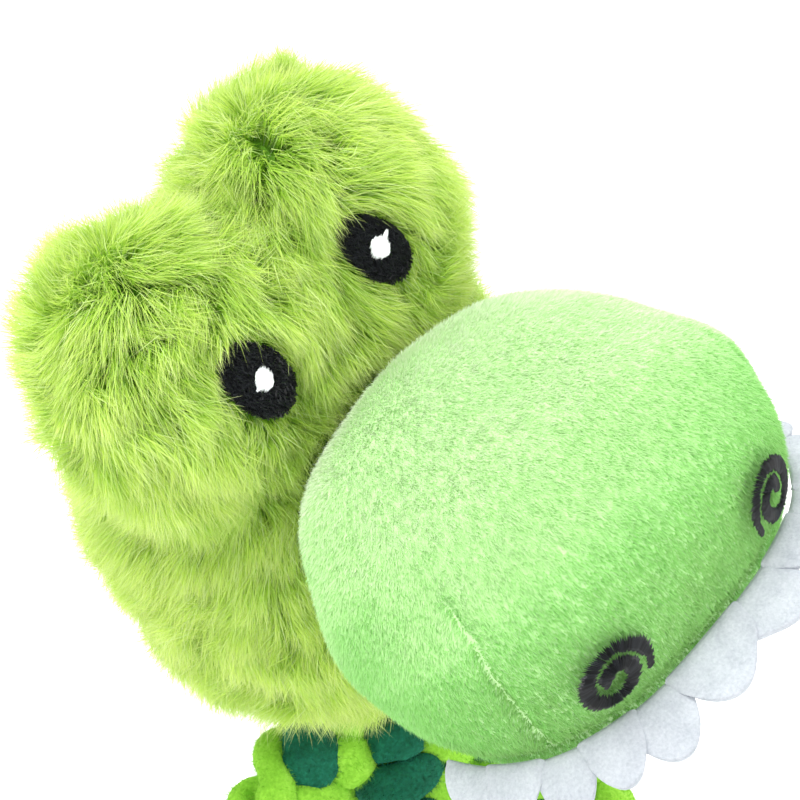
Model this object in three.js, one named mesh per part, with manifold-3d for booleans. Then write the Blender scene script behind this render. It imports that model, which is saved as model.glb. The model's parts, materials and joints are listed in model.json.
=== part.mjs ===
// Stuffed dinosaur tug toy: a furry head with a plush muzzle on a body of braided fleece strips.
// Millimetres, +Z up, the front faces -Y, the toy's own left is +X, origin on the floor under the body.
// It sits upright with its legs and tail on the floor and its head cocked towards its right.
import * as THREE from 'three';
import { mergeVertices } from 'three/addons/utils/BufferGeometryUtils.js';
import Module from 'manifold-3d';

const wasm = await Module();
wasm.setup();

// ---- driving dimensions ----
const GAP = 0.3;                       // clear space between pieces that touch
const FAR = 300;                       // beyond every piece: the reach of a cutting solid
const OVERCUT = 5;                     // how far an inner cut runs past the open edge it leaves
const NECK_Z = 162;                    // height of the neck's centre over the floor
const HEAD_TILT = THREE.MathUtils.degToRad(-34);   // the head leans towards the toy's right

// Head, measured from the neck's centre with the head upright.
const CRANIUM = { centre: [0, -9, 66], radii: [58, 57, 52] };
const JOWL = { centre: [0, -2, 37], radii: [56, 55, 44] };
const BUMP = { centre: [29, -33, 120], radii: [30, 31, 38] };
const FUR_THICKNESS = 5;
const CREST_Y = -33;                   // the seam across both eye bumps lies in this plane
const CREST_Z = 114;                   // height at which that seam turns forward
const FACE_SLOPE = 0.83;               // rise per forward length of the seam under the face panel
const CHIN_Z = 14;                     // seam between the side panels and the chin panel

// Muzzle: a boxy ellipsoid, narrower towards the face, pitched forward.
const MUZZLE = { centre: [0, -101, 57], radii: [62, 53, 45], boxiness: 2.6, pitch: 0.3, taper: 0.16 };
const MUZZLE_BACK_Y = -54;             // the muzzle's sewn-in edge inside the head
const MINKY_THICKNESS = 2.4;
const MOUTH_Z = 31;                    // the teeth leave the muzzle in this plane

const TOOTH = { count: 12, length: 13, fullness: 0.5, thickness: 1.6, drop: 0.45, spread: 2, samples: 6,
  arc: 0.96 };
const EYE = { centre: [23, 117], halfWidth: 8.5, halfHeight: 13, thickness: 1.2 };
const GLINT = { offset: [1, 3], halfWidth: 3.4, halfHeight: 3.8, thickness: 0.9 };
const NOSTRIL = { centre: [30.5, 46], inner: 2.4, outer: 9, stroke: 3, turns: 1.6,
  start: 1.15, thickness: 1.2 };

const SQUEAKER = { centre: [0, -7, 66], radius: 19, height: 17, hole: 5, reedInset: 1 };
const CHANNEL = { halfWidth: 9, front: -14, back: 6 };     // slit in the fill under the squeaker
const NECK = { knotRadius: 16, columnRadius: 11, clearance: 0.6, bottom: 30 };
const NECK_ROOM = { tilts: [-46, -34, -17, 0, 12], nods: [-14, 6], flare: [2, 4], length: 70 };

// Body: a four-strand round braid over a core, on a flat seat.
const TORSO = { bottom: 29, top: NECK_Z - 33, radius: 15.5, wave: 4, turn: 27, strip: [5.4, 5.8] };
const CORE_RADIUS = 8;
const SEAT = { radius: 22, height: 24, waist: 17 };

// Limbs: three-strand plaits that end in a knot and loose strip ends.
const PLAIT = { swing: 8.6, depth: 4.6, turn: 46, strip: [8, 5.3] };
const KNOT = { radius: 15, height: 22, flat: 13, detail: 0.65 };
const ENDS = { length: 24, width: 7.8, thickness: 4.5, step: 2.5, spread: 9 };
const SHOULDER = [31, 0, NECK_Z - 39];
const ARM_LENGTH = 52;
const ARM_DROP = { left: THREE.MathUtils.degToRad(44), right: THREE.MathUtils.degToRad(37) };   // below level
const HIP = [21, -18, 13];
const LEG_LENGTH = 70;
const LEG_SPREAD = THREE.MathUtils.degToRad(34);   // outwards from straight ahead
const TAIL_ROOT = [0, 26, 13];
const TAIL_LENGTH = 66;

const LIME = 0x8cc63c;
const BOTTLE_GREEN = 0x12603f;
const FUR_GREEN = 0x9fd84a;
const MINKY_GREEN = 0xb4f090;
const FELT_WHITE = 0xeef0f5;
const THREAD_BLACK = 0x111214;
const FILL_WHITE = 0xf2f2ee;
const PLASTIC_WHITE = 0xe4e6e8;

// ---- solids ----
const toSolid = (geometry) => {
  const plain = geometry.clone();
  plain.deleteAttribute('normal');
  plain.deleteAttribute('uv');
  const merged = mergeVertices(plain, 1e-4);
  return new wasm.Manifold(new wasm.Mesh({
    numProp: 3,
    vertProperties: new Float32Array(merged.attributes.position.array),
    triVerts: new Uint32Array(merged.index.array),
  }));
};

const toGeometry = (solid) => {
  const mesh = solid.getMesh();
  const geometry = new THREE.BufferGeometry();
  geometry.setAttribute('position', new THREE.BufferAttribute(mesh.vertProperties, 3));
  geometry.setIndex(new THREE.BufferAttribute(mesh.triVerts, 1));
  geometry.computeVertexNormals();
  return geometry;
};

const ellipsoid = ({ centre, radii }, grow = 0, mirror = 1, detail = 1) => {
  const sphere = new THREE.SphereGeometry(1, Math.round(18 * detail), Math.round(11 * detail));
  sphere.rotateX(Math.PI / 2);
  sphere.scale(radii[0] + grow, radii[1] + grow, radii[2] + grow);
  sphere.translate(centre[0] * mirror, centre[1], centre[2]);
  return toSolid(sphere);
};

const block = (low, high) => {
  const size = high.map((value, axis) => value - low[axis]);
  const box = new THREE.BoxGeometry(...size);
  box.translate(...low.map((value, axis) => value + size[axis] / 2));
  return toSolid(box);
};

const union = (solids) => solids.reduce((whole, next) => whole.add(next));

const headSolid = (grow) => union([
  ellipsoid(CRANIUM, grow), ellipsoid(JOWL, grow), ellipsoid(BUMP, grow, 1), ellipsoid(BUMP, grow, -1),
]);

// A unit ball pushed out towards a box, stretched, narrowed towards the face and pitched forward.
const muzzleSolid = (grow, backGrow = 0) => {
  const ball = new THREE.SphereGeometry(1, 22, 13);
  ball.rotateX(Math.PI / 2);
  const position = ball.attributes.position;
  const point = new THREE.Vector3();
  const power = MUZZLE.boxiness;
  for (let index = 0; index < position.count; index += 1) {
    point.fromBufferAttribute(position, index);
    const reach = Math.abs(point.x) ** power + Math.abs(point.y) ** power + Math.abs(point.z) ** power;
    point.divideScalar(reach ** (1 / power));
    point.x *= 1 - MUZZLE.taper * Math.max(0, point.z + point.y) / 2;
    point.multiply(new THREE.Vector3(...MUZZLE.radii.map((radius) => radius + grow)));
    position.setXYZ(index, point.x, point.y, point.z);
  }
  ball.rotateX(MUZZLE.pitch);
  ball.translate(...MUZZLE.centre);
  return toSolid(ball).intersect(block([-FAR, -FAR, -FAR], [FAR, MUZZLE_BACK_Y + backGrow, FAR]));
};

// The region in front of the crest seam and above the seam under the face.
const faceRegion = (grow) => {
  const y = CREST_Y + grow;
  const z = CREST_Z - grow;
  const outline = new THREE.Shape([
    new THREE.Vector2(y, z), new THREE.Vector2(y, FAR), new THREE.Vector2(-FAR, FAR),
    new THREE.Vector2(-FAR, z - FACE_SLOPE * (FAR + y)),
  ]);
  const wedge = new THREE.ExtrudeGeometry(outline, { depth: 2 * FAR, bevelEnabled: false });
  wedge.translate(0, 0, -FAR);
  wedge.applyMatrix4(new THREE.Matrix4().makeBasis(
    new THREE.Vector3(0, 1, 0), new THREE.Vector3(0, 0, 1), new THREE.Vector3(1, 0, 0)));
  return toSolid(wedge);
};

// The room in the head for the neck's knot, and for its column from upright to a little past the rest tilt.
const neckRoom = () => {
  const room = [ellipsoid({ centre: [0, 0, 0], radii: [1, 1, 1] }, NECK.knotRadius + NECK.clearance - 1)];
  const radii = NECK_ROOM.flare.map((extra) => NECK.columnRadius + extra);
  for (const tilt of NECK_ROOM.tilts) {
    for (const nod of NECK_ROOM.nods) {
      const column = new THREE.CylinderGeometry(...radii, NECK_ROOM.length, 14);
      column.rotateX(Math.PI / 2);
      column.translate(0, 0, -NECK_ROOM.length / 2);
      column.rotateX(THREE.MathUtils.degToRad(nod));
      column.rotateY(THREE.MathUtils.degToRad(-tilt));
      room.push(toSolid(column));
    }
  }
  return union(room);
};

// ---- sweeps ----
// A closed tube: centre(t) gives the middle line and side(t) the direction of the section's first radius.
const sweep = (centre, side, radii, steps, sides) => {
  const positions = [];
  const indices = [];
  for (let step = 0; step <= steps; step += 1) {
    const t = step / steps;
    const middle = centre(t);
    const along = centre(Math.min(1, t + 1e-3)).sub(centre(Math.max(0, t - 1e-3))).normalize();
    const across = side(t).addScaledVector(along, -side(t).dot(along)).normalize();
    const up = new THREE.Vector3().crossVectors(along, across);
    for (let turn = 0; turn < sides; turn += 1) {
      const angle = 2 * Math.PI * (turn + 0.5) / sides;
      const point = middle.clone().addScaledVector(across, radii[0] * Math.cos(angle));
      point.addScaledVector(up, radii[1] * Math.sin(angle));
      positions.push(point.x, point.y, point.z);
    }
  }
  for (let step = 0; step < steps; step += 1) {
    for (let turn = 0; turn < sides; turn += 1) {
      const next = (turn + 1) % sides;
      const a = step * sides + turn;
      const b = step * sides + next;
      indices.push(a, b, b + sides, a, b + sides, a + sides);
    }
  }
  const last = steps * sides;
  for (let turn = 1; turn < sides - 1; turn += 1) {
    indices.push(0, turn + 1, turn, last, last + turn, last + turn + 1);
  }
  const geometry = new THREE.BufferGeometry();
  geometry.setAttribute('position', new THREE.Float32BufferAttribute(positions, 3));
  geometry.setIndex(indices);
  geometry.computeVertexNormals();
  return geometry;
};

// One strand of the round braid: it circles the core one way and weaves in and out twice a turn.
const torsoStrand = (direction, phase) => {
  const turns = (TORSO.top - TORSO.bottom) / TORSO.turn;
  const angleAt = (t) => direction * 2 * Math.PI * turns * t + phase;
  const side = (t) => new THREE.Vector3(Math.cos(angleAt(t)), Math.sin(angleAt(t)), 0);
  const centre = (t) => {
    const reach = TORSO.radius + direction * TORSO.wave * Math.sin(4 * Math.PI * turns * t);
    return side(t).multiplyScalar(reach).setZ(TORSO.bottom + (TORSO.top - TORSO.bottom) * t);
  };
  return sweep(centre, side, TORSO.strip.map((size) => size / 2), Math.round(11 * turns), 6);
};

// One strand of a flat plait along +Z: it swings across and rises over or dips under twice a turn.
// It is swept a little too long, then both ends are cut square.
const plaitStrand = (length, index) => {
  const extra = PLAIT.strip[0] / 2;
  const centre = (t) => {
    const z = (length + 2 * extra) * t - extra;
    const angle = 2 * Math.PI * (z / PLAIT.turn + index / 3);
    return new THREE.Vector3(PLAIT.swing * Math.sin(angle), PLAIT.depth * Math.sin(2 * angle), z);
  };
  const side = () => new THREE.Vector3(1, 0, 0);
  const tube = sweep(centre, side, PLAIT.strip.map((size) => size / 2), Math.round(length / 4), 6);
  return toGeometry(toSolid(tube).intersect(block([-FAR, -FAR, 0], [FAR, FAR, length])));
};

// A rounded knot along +Z from z = 0, with flats on two sides so that a leg lies steady.
const knot = () => {
  const size = { centre: [0, 0, KNOT.height / 2], radii: [KNOT.radius, KNOT.radius, KNOT.height / 2] };
  const ball = ellipsoid(size, 0, 1, KNOT.detail);
  return toGeometry(ball.intersect(block([-FAR, -KNOT.flat, 0], [FAR, KNOT.flat, KNOT.height])));
};

// Three loose strip ends that fan out from one root, along +Z from z = 0.
const stripEnds = () => {
  const strips = [-1, 0, 1].map((place) => {
    const strip = new THREE.BoxGeometry(ENDS.width, ENDS.thickness, ENDS.length);
    strip.translate(0, place * ENDS.step, ENDS.length / 2);
    strip.rotateY(place * Math.atan2(ENDS.spread, ENDS.length));
    return toSolid(strip);
  });
  return toGeometry(union(strips).intersect(block([-FAR, -FAR, 0], [FAR, FAR, FAR])));
};

// ---- head pieces, in the head's own frame ----
const furPanels = () => {
  const shell = headSolid(0).subtract(headSolid(-FUR_THICKNESS)).subtract(muzzleSolid(GAP, GAP))
    .subtract(neckRoom());
  const face = shell.intersect(faceRegion(0));
  const rest = shell.subtract(faceRegion(GAP));
  const chin = rest.intersect(block([-FAR, -FAR, -FAR], [FAR, FAR, CHIN_Z]));
  const sides = [1, -1].map((sign) => {
    const low = sign > 0 ? GAP / 2 : -FAR;
    const high = sign > 0 ? FAR : -GAP / 2;
    return rest.intersect(block([low, -FAR, CHIN_Z + GAP], [high, FAR, FAR]));
  });
  return { face, left: sides[0], right: sides[1], chin };
};

const squeakerSolid = (grow) => {
  const disc = new THREE.CylinderGeometry(SQUEAKER.radius + grow, SQUEAKER.radius + grow,
    SQUEAKER.height + 2 * grow, 24);
  disc.rotateX(Math.PI / 2);
  disc.translate(...SQUEAKER.centre);
  return toSolid(disc);
};

// The fill has a pocket for the squeaker, pushed in from below.
const headFill = () => {
  const channel = block([-CHANNEL.halfWidth, CHANNEL.front, 0],
    [CHANNEL.halfWidth, CHANNEL.back, SQUEAKER.centre[2]]);
  return headSolid(-FUR_THICKNESS - GAP).subtract(muzzleSolid(GAP, GAP)).subtract(squeakerSolid(GAP))
    .subtract(neckRoom()).subtract(channel);
};

const squeakerBody = () => {
  const hole = new THREE.CylinderGeometry(SQUEAKER.hole, SQUEAKER.hole, 2 * SQUEAKER.height, 16);
  hole.rotateX(Math.PI / 2);
  hole.translate(...SQUEAKER.centre);
  return squeakerSolid(0).subtract(toSolid(hole));
};

const squeakerReed = () => {
  const radius = SQUEAKER.hole - GAP;
  const reed = new THREE.CylinderGeometry(radius, radius, SQUEAKER.height - 2 * SQUEAKER.reedInset, 16);
  reed.rotateX(Math.PI / 2);
  reed.translate(...SQUEAKER.centre);
  return toSolid(reed);
};

const muzzlePanels = () => {
  const shell = muzzleSolid(0).subtract(muzzleSolid(-MINKY_THICKNESS, OVERCUT));
  const half = TOOTH.thickness / 2 + GAP;
  return {
    top: shell.intersect(block([-FAR, -FAR, MOUTH_Z + half], [FAR, FAR, FAR])),
    under: shell.intersect(block([-FAR, -FAR, -FAR], [FAR, FAR, MOUTH_Z - half])),
    fill: muzzleSolid(-MINKY_THICKNESS - GAP, -GAP),
  };
};

// Half the muzzle's width and depth where the mouth seam cuts it, found on its own solid.
const mouthOutline = () => {
  const ring = muzzleSolid(0).intersect(block([-FAR, -FAR, MOUTH_Z - 1], [FAR, FAR, MOUTH_Z + 1]));
  const box = ring.boundingBox();
  return { halfWidth: box.max[0], front: box.min[1] };
};

// A row of rounded points round the mouth seam; each tooth slopes outwards and down.
const teeth = () => {
  const mouth = mouthOutline();
  const middleY = MUZZLE.centre[1];
  const count = TOOTH.count * TOOTH.samples;
  const seam = (angle) => new THREE.Vector3(
    mouth.halfWidth * Math.sign(Math.sin(angle)) * Math.abs(Math.sin(angle)) ** (2 / MUZZLE.boxiness),
    middleY + (mouth.front - middleY) * Math.abs(Math.cos(angle)) ** (2 / MUZZLE.boxiness), MOUTH_Z);
  const positions = [];
  const indices = [];
  for (let step = 0; step <= count; step += 1) {
    const angle = (2 * step / count - 1) * Math.PI / 2 * TOOTH.arc;
    const root = seam(angle);
    const outward = new THREE.Vector3(Math.sin(angle), -Math.cos(angle), 0);
    const place = (step / TOOTH.samples) % 1;
    const reach = TOOTH.length * Math.sin(Math.PI * place) ** TOOTH.fullness + TOOTH.spread;
    const tip = root.clone().addScaledVector(outward, reach);
    tip.z -= TOOTH.drop * Math.max(0, reach - TOOTH.spread);
    const shoulder = root.clone().addScaledVector(outward, TOOTH.spread);
    root.addScaledVector(outward, GAP);
    for (const point of [root, shoulder, tip]) {
      positions.push(point.x, point.y, point.z - TOOTH.thickness / 2);
      positions.push(point.x, point.y, point.z + TOOTH.thickness / 2);
    }
  }
  const quad = (a, b, c, d) => indices.push(a, c, b, a, d, c);
  for (let step = 0; step < count; step += 1) {
    const a = step * 6;
    const b = a + 6;
    quad(a, a + 2, b + 2, b);
    quad(a + 2, a + 4, b + 4, b + 2);
    quad(a + 1, b + 1, b + 3, a + 3);
    quad(a + 3, b + 3, b + 5, a + 5);
    quad(a, b, b + 1, a + 1);
    quad(a + 4, a + 5, b + 5, b + 4);
  }
  const end = count * 6;
  quad(0, 1, 3, 2);
  quad(2, 3, 5, 4);
  quad(end, end + 2, end + 3, end + 1);
  quad(end + 2, end + 4, end + 5, end + 3);
  const geometry = new THREE.BufferGeometry();
  geometry.setAttribute('position', new THREE.Float32BufferAttribute(positions, 3));
  geometry.setIndex(indices);
  geometry.computeVertexNormals();
  return geometry;
};

// A prism that runs forward from a start plane, with its outline in the X-Z plane.
const frontPrism = (outline, startY) => {
  const prism = new THREE.ExtrudeGeometry(outline, { depth: FAR, bevelEnabled: false, curveSegments: 12 });
  prism.rotateX(Math.PI / 2);
  prism.translate(0, startY, 0);
  return toSolid(prism);
};

const ovalPrism = (x, z, halfWidth, halfHeight) => {
  const outline = new THREE.Shape();
  outline.absellipse(x, z, halfWidth, halfHeight, 0, 2 * Math.PI, false, 0);
  return frontPrism(outline, BUMP.centre[1]);
};

const eye = (sign) => {
  const layer = ellipsoid(BUMP, GAP + EYE.thickness, sign).subtract(ellipsoid(BUMP, GAP, sign));
  return layer.intersect(ovalPrism(sign * EYE.centre[0], EYE.centre[1], EYE.halfWidth, EYE.halfHeight));
};

const glint = (sign) => {
  const base = GAP + EYE.thickness + GAP;
  const layer = ellipsoid(BUMP, base + GLINT.thickness, sign).subtract(ellipsoid(BUMP, base, sign));
  const x = sign * EYE.centre[0] + GLINT.offset[0];
  return layer.intersect(ovalPrism(x, EYE.centre[1] + GLINT.offset[1], GLINT.halfWidth, GLINT.halfHeight));
};

// A spiral band: it starts low on the inner side, goes up over the top and outwards, then curls in.
const nostril = (sign) => {
  const steps = 24;
  const edge = (side) => Array.from({ length: steps + 1 }, (_, step) => {
    const t = step / steps;
    const angle = Math.PI * (NOSTRIL.start - 2 * NOSTRIL.turns * t);
    const radius = NOSTRIL.outer + (NOSTRIL.inner - NOSTRIL.outer) * t + side * NOSTRIL.stroke / 2;
    return new THREE.Vector2(sign * (NOSTRIL.centre[0] + radius * Math.cos(angle)),
      NOSTRIL.centre[1] + radius * Math.sin(angle));
  });
  const outline = new THREE.Shape([...edge(1), ...edge(-1).reverse()]);
  const layer = muzzleSolid(GAP + NOSTRIL.thickness).subtract(muzzleSolid(GAP));
  return layer.intersect(frontPrism(outline, MUZZLE.centre[1]));
};

const headPieces = () => {
  const fur = furPanels();
  const muzzle = muzzlePanels();
  const pieces = [
    ['head_fur_face', fur.face, FUR_GREEN, 0.95],
    ['head_fur_side_left', fur.left, FUR_GREEN, 0.95],
    ['head_fur_side_right', fur.right, FUR_GREEN, 0.95],
    ['head_fur_chin', fur.chin, FUR_GREEN, 0.95],
    ['head_stuffing', headFill(), FILL_WHITE, 1],
    ['squeaker_shell', squeakerBody(), PLASTIC_WHITE, 0.4],
    ['squeaker_reed', squeakerReed(), PLASTIC_WHITE, 0.4],
    ['muzzle_top_panel', muzzle.top, MINKY_GREEN, 0.9],
    ['muzzle_under_panel', muzzle.under, MINKY_GREEN, 0.9],
    ['muzzle_stuffing', muzzle.fill, FILL_WHITE, 1],
  ];
  for (const [side, sign] of [['left', 1], ['right', -1]]) {
    pieces.push([`eye_${side}`, eye(sign), THREAD_BLACK, 0.5]);
    pieces.push([`eye_glint_${side}`, glint(sign), FELT_WHITE, 0.5]);
    pieces.push([`nostril_${side}`, nostril(sign), THREAD_BLACK, 0.5]);
  }
  return pieces;
};

// ---- assembly ----
const piece = (name, geometry, color, roughness) => {
  const mesh = new THREE.Mesh(geometry, new THREE.MeshStandardMaterial({ color, roughness, metalness: 0 }));
  mesh.name = name;
  return mesh;
};

const head = new THREE.Group();
head.position.set(0, 0, NECK_Z);
head.rotation.y = HEAD_TILT;
for (const [name, solid, color, roughness] of headPieces()) {
  head.add(piece(name, toGeometry(solid), color, roughness));
}
head.add(piece('teeth_strip', teeth(), FELT_WHITE, 0.95));

const neckKnot = () => {
  const ball = new THREE.SphereGeometry(NECK.knotRadius, 22, 14);
  ball.rotateX(Math.PI / 2);
  ball.translate(0, 0, NECK_Z);
  return ball;
};

// The neck's strips run from the knot down into the top of the braid.
const neckColumn = () => {
  const column = new THREE.CylinderGeometry(NECK.columnRadius, NECK.columnRadius, NECK.bottom, 18);
  column.rotateX(Math.PI / 2);
  column.translate(0, 0, NECK_Z - NECK.bottom / 2);
  const seat = new THREE.SphereGeometry(NECK.knotRadius + NECK.clearance, 22, 14);
  seat.rotateX(Math.PI / 2);
  seat.translate(0, 0, NECK_Z);
  return toGeometry(toSolid(column).subtract(toSolid(seat)));
};

// The core stands in the seat and carries the neck.
const torsoCore = () => {
  const bottom = SEAT.height + GAP;
  const top = NECK_Z - NECK.bottom - GAP;
  const core = new THREE.CylinderGeometry(CORE_RADIUS, CORE_RADIUS, top - bottom, 16);
  core.rotateX(Math.PI / 2);
  core.translate(0, 0, (top + bottom) / 2);
  return core;
};

const seat = () => {
  const profile = new THREE.Path();
  profile.moveTo(0, 0);
  profile.lineTo(SEAT.waist - 1, 0);
  profile.quadraticCurveTo(SEAT.radius, SEAT.height * 0.2, SEAT.radius, SEAT.height * 0.5);
  profile.quadraticCurveTo(SEAT.radius, SEAT.height * 0.9, SEAT.waist, SEAT.height);
  profile.lineTo(0, SEAT.height);
  const turned = new THREE.LatheGeometry(profile.getPoints(5), 26);
  turned.rotateX(Math.PI / 2);
  return turned;
};

// A limb runs along +Z of its own group: plait, knot, loose ends.
const limb = (name, length, colors) => {
  const group = new THREE.Group();
  colors.forEach((color, index) => {
    group.add(piece(`${name}_strip_${index + 1}`, plaitStrand(length, index), color, 0.95));
  });
  const bound = piece(`${name}_knot`, knot(), colors[0], 0.95);
  bound.position.z = length + GAP;
  const loose = piece(`${name}_strip_ends`, stripEnds(), colors[1], 0.95);
  loose.position.z = length + KNOT.height + 2 * GAP;
  group.add(bound, loose);
  return group;
};

const toy = new THREE.Group();
toy.add(head);
toy.add(piece('neck_knot', neckKnot(), BOTTLE_GREEN, 0.95));
toy.add(piece('neck_strips', neckColumn(), LIME, 0.95));
toy.add(piece('body_core', torsoCore(), LIME, 0.95));
toy.add(piece('seat_knot', seat(), BOTTLE_GREEN, 0.95));
for (const half of [0, 1]) {
  const phase = Math.PI * half;
  toy.add(piece(`body_strip_dark_${half + 1}`, torsoStrand(1, phase), BOTTLE_GREEN, 0.95));
  toy.add(piece(`body_strip_lime_${half + 1}`, torsoStrand(-1, phase + Math.PI / 2), LIME, 0.95));
}

for (const [side, sign] of [['left', 1], ['right', -1]]) {
  const arm = limb(`arm_${side}`, ARM_LENGTH, [LIME, BOTTLE_GREEN, LIME]);
  arm.position.set(sign * SHOULDER[0], SHOULDER[1], SHOULDER[2]);
  arm.rotation.set(0, sign * (Math.PI / 2 + ARM_DROP[side]), 0);
  toy.add(arm);
  const leg = limb(`leg_${side}`, LEG_LENGTH, [BOTTLE_GREEN, LIME, BOTTLE_GREEN]);
  leg.position.set(sign * HIP[0], HIP[1], HIP[2]);
  leg.rotation.set(Math.PI / 2, 0, sign * LEG_SPREAD, 'ZYX');
  toy.add(leg);
}

const tail = limb('tail', TAIL_LENGTH, [LIME, BOTTLE_GREEN, LIME]);
tail.position.set(...TAIL_ROOT);
tail.rotation.set(-Math.PI / 2, 0, 0);
toy.add(tail);

export default toy;
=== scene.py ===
"""Stuffed dinosaur tug toy: a long-pile fur head with a minky muzzle, felt teeth and embroidery, on a
body and limbs of braided fleece."""
import json
import math

import bpy
import numpy as np
from mathutils import Matrix, Vector


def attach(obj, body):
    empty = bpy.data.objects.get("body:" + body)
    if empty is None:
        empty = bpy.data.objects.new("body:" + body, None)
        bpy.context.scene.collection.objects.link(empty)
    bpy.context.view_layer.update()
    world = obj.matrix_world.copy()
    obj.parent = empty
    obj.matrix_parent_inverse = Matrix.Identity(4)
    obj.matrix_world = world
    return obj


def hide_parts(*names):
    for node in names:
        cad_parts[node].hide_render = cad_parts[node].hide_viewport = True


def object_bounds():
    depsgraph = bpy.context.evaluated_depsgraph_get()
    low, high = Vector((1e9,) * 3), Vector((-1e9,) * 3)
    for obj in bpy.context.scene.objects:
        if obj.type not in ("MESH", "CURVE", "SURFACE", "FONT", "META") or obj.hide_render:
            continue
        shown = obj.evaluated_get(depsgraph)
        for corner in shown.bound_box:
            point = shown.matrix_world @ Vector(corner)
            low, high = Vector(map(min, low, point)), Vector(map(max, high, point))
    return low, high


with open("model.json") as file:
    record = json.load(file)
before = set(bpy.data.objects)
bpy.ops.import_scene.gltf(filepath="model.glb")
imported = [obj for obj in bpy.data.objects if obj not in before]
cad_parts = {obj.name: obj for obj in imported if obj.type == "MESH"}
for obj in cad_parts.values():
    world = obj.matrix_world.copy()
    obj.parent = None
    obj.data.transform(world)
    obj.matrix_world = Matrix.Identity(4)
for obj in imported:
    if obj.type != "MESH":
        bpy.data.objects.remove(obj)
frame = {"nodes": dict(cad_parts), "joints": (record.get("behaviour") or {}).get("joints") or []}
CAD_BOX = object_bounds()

MM = 0.001
SEED = 11

# ---- the toy's own sizes, in millimetres; the head's are measured from the neck with the head upright ----
GAP = 0.3
CRANIUM = ((0, -9, 66), (58, 57, 52))
JOWL = ((0, -2, 37), (56, 55, 44))
BUMP_CENTRE = np.array((29.0, -33.0, 120.0))
BUMP_RADII = (30, 31, 38)
BUMP_BLEND = 32.0           # how softly the two eye bumps run into each other
BLEND = 12.0                # how softly the other rounded parts of the head run into each other
SKIN_INSET = 3.0            # the fur's backing lies this far inside the CAD solid
CREST_Y = -33.0             # plane of the seam across both eye bumps
CREST_Z = 114.0             # where that seam turns forward
FACE_SLOPE = 0.83           # rise per length of the seam under the face panel
CHIN_Z = 14.0               # seam above the chin panel
MUZZLE_CENTRE = np.array((0.5, -101.0, 55.5))
MUZZLE_RADII = np.array((62.0, 53.0, 45.0))
MUZZLE_BOXINESS = 2.6
MUZZLE_PITCH = 0.3
MUZZLE_TAPER = 0.16
MOUTH_Z = 31.0
# Four places down the dart at the right front corner, from its top to the mouth.
DART = ((-50.3, -128.3, 78.6), (-51.9, -134.3, 70.5), (-52.4, -135.1, 51.5), (-49.0, -133.1, 33.0))
DART_REACH = 62.0           # how far the darts lie from the muzzle's middle
MOUTH_FRONT_Y = -70.0       # the mouth seam is sewn only in front of this
HEAD_MIDDLE = np.array((0.0, -12.0, 70.0))     # rays to the head's surface start here
HEAD_LEAN = math.radians(-34)

EYE_CENTRE = {1: (22.1, 120.1), -1: (24.6, 117.6)}        # sewn a little unevenly: left eye, right eye
EYE_SIZE = {1: (7.2, 12.0), -1: (8.5, 13.4)}
EYE_TILT = {1: math.radians(20.6), -1: math.radians(24.6)}    # the ovals' tops lean towards the toy's right
GLINT_SIZE = (3.0, 3.0)
NOSTRIL_CENTRE = (30.5, 46.0)
NOSTRIL_SHIFT = -2.6         # both sit a little towards the toy's right
NOSTRIL_REACH = (9.6, 2.1)
NOSTRIL_STROKE = 4.2
NOSTRIL_TURNS = 1.6
NOSTRIL_START = 1.15
TEETH = 12
TOOTH_LENGTH = 15.5
TOOTH_DROP = 0.45
TOOTH_ARC = 0.96
FELT_THICKNESS = 1.6

TORSO_BOTTOM = 29.0
TORSO_TOP = 129.0
TORSO_TURN = 27.0
TORSO_RADIUS = 15.5
TORSO_WAVE = 4.0
PLAIT_SWING = 8.6
PLAIT_DEPTH = 4.6
PLAIT_TURN = 46.0
KNOT_RADIUS = 15.0
KNOT_HEIGHT = 22.0
KNOT_FLAT = 12.7             # half the knot's depth between its two flat sides
SEAT_KNOT = (22, 24, 8.4)    # radius, height and half thickness of its strip
NECK_KNOT = (16, 30, 6.0)
CORE_SIZE = (8.6, 7.4)
RISER_SIZE = (6.6, 5.0)
ENDS_LENGTH = 24.0
ENDS_SPREAD = 9.0
ARM_DROP = {"arm_left": math.radians(44), "arm_right": math.radians(37)}    # below level
LEG_SPREAD = math.radians(34)
ARM_LENGTH = 52
LEG_LENGTH = 70
TAIL_LENGTH = 66

PILE_LENGTH = 17.0
PILE_WIDTH = 0.285           # wider than a real fibre, so that it shows
PILE_PER_MM2 = 6.0
BACKING_THICKNESS = 1.2
MINKY_LENGTH = 1.9
MINKY_WIDTH = 0.28
MINKY_PER_MM2 = 7.6
MINKY_BACK_Y = -56.0         # no pile on the edge sewn into the head
GROUND_THICKNESS = 0.8
FLEECE_NAP = 1.7
FLEECE_NAP_WIDTH = 0.16
FLEECE_PER_MM2 = 1.7
EYE_STITCHES = 2600          # in each eye
NOSTRIL_STITCHES = 210       # in each nostril
THREAD_WIDTH = {"eye": 0.32, "nostril": 0.46, "glint": 0.55}
FELT_FUZZ = 1.3              # length of the loose fibres on the felt

CAMERA_AZIMUTH = math.radians(-37.8)
CAMERA_ELEVATION = math.radians(9.5)
CAMERA_ROLL = math.radians(-2.8)
CAMERA_TARGET = Vector((-0.0166, -0.0287, 0.2276))
CAMERA_DISTANCE = 0.626
CAMERA_LENS = 103.3

JOINT_PLACE = {joint["name"]: np.array(joint["pos_m"]) / MM for joint in frame["joints"]}
NECK = JOINT_PLACE["head_tilt"]


# ---- colours and materials ----
def linear(code):
    """An sRGB hex colour as linear red, green, blue and alpha."""
    parts = [int(code[i:i + 2], 16) / 255 for i in (1, 3, 5)]
    return tuple(c / 12.92 if c <= 0.04045 else ((c + 0.055) / 1.055) ** 2.4 for c in parts) + (1.0,)


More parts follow.
